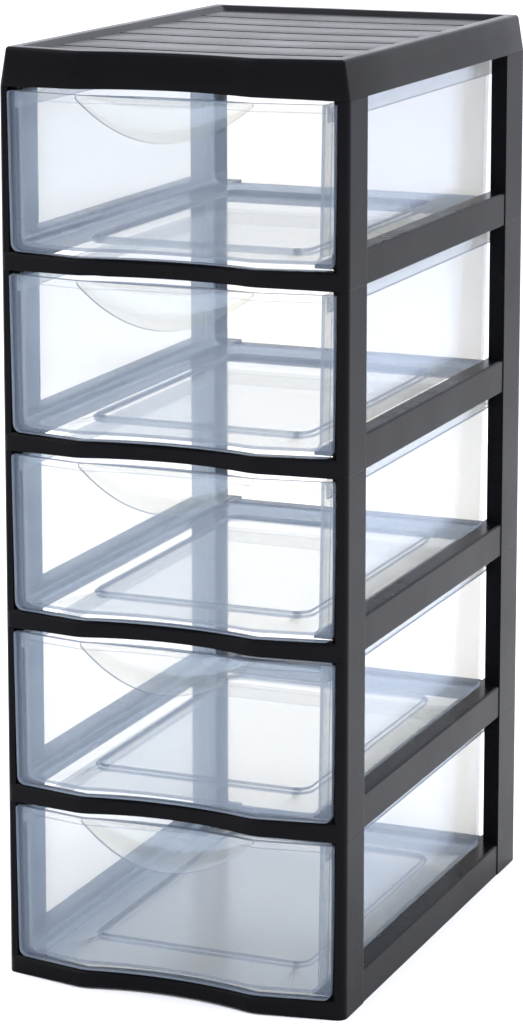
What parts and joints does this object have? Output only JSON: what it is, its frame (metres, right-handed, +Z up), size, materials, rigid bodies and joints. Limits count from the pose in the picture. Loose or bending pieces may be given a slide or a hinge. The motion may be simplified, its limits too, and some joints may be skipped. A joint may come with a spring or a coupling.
{
  "type": "plastic drawer tower",
  "caption": "Narrow tower of stacked open black plastic frames with clear pull-out drawers that have a wavy front and an awning-shaped pull, under a slatted top cover.",
  "frame": {"origin": "under the middle of the bounding box, on the surface the tower stands on", "axes": "+Z up; the drawers pull out towards -Y, where the viewer stands; +X is to the viewer's right"},
  "size_m": [0.18, 0.2745, 0.464],
  "materials": {
    "frame": "black polypropylene, satin as moulded",
    "drawer": "clear polystyrene, glossy"
  },
  "bodies": {
    "housing": {"top_cover": "frame", "tier_frame_1": "frame", "tier_frame_2": "frame", "tier_frame_3": "frame", "tier_frame_4": "frame", "tier_frame_5": "frame"},
    "drawer_1_body": {"drawer_1": "drawer", "drawer_1_pull": "drawer"},
    "drawer_2_body": {"drawer_2": "drawer", "drawer_2_pull": "drawer"},
    "drawer_3_body": {"drawer_3": "drawer", "drawer_3_pull": "drawer"},
    "drawer_4_body": {"drawer_4": "drawer", "drawer_4_pull": "drawer"},
    "drawer_5_body": {"drawer_5": "drawer", "drawer_5_pull": "drawer"}
  },
  "joints": [
    {"name": "drawer_1_slide", "type": "slide", "parent": "housing", "child": "drawer_1_body", "axis": [0, -1, 0], "range_m": [0, 0.195]},
    {"name": "drawer_2_slide", "type": "slide", "parent": "housing", "child": "drawer_2_body", "axis": [0, -1, 0], "range_m": [0, 0.195]},
    {"name": "drawer_3_slide", "type": "slide", "parent": "housing", "child": "drawer_3_body", "axis": [0, -1, 0], "range_m": [0, 0.195]},
    {"name": "drawer_4_slide", "type": "slide", "parent": "housing", "child": "drawer_4_body", "axis": [0, -1, 0], "range_m": [0, 0.195]},
    {"name": "drawer_5_slide", "type": "slide", "parent": "housing", "child": "drawer_5_body", "axis": [0, -1, 0], "range_m": [0, 0.195]}
  ]
}
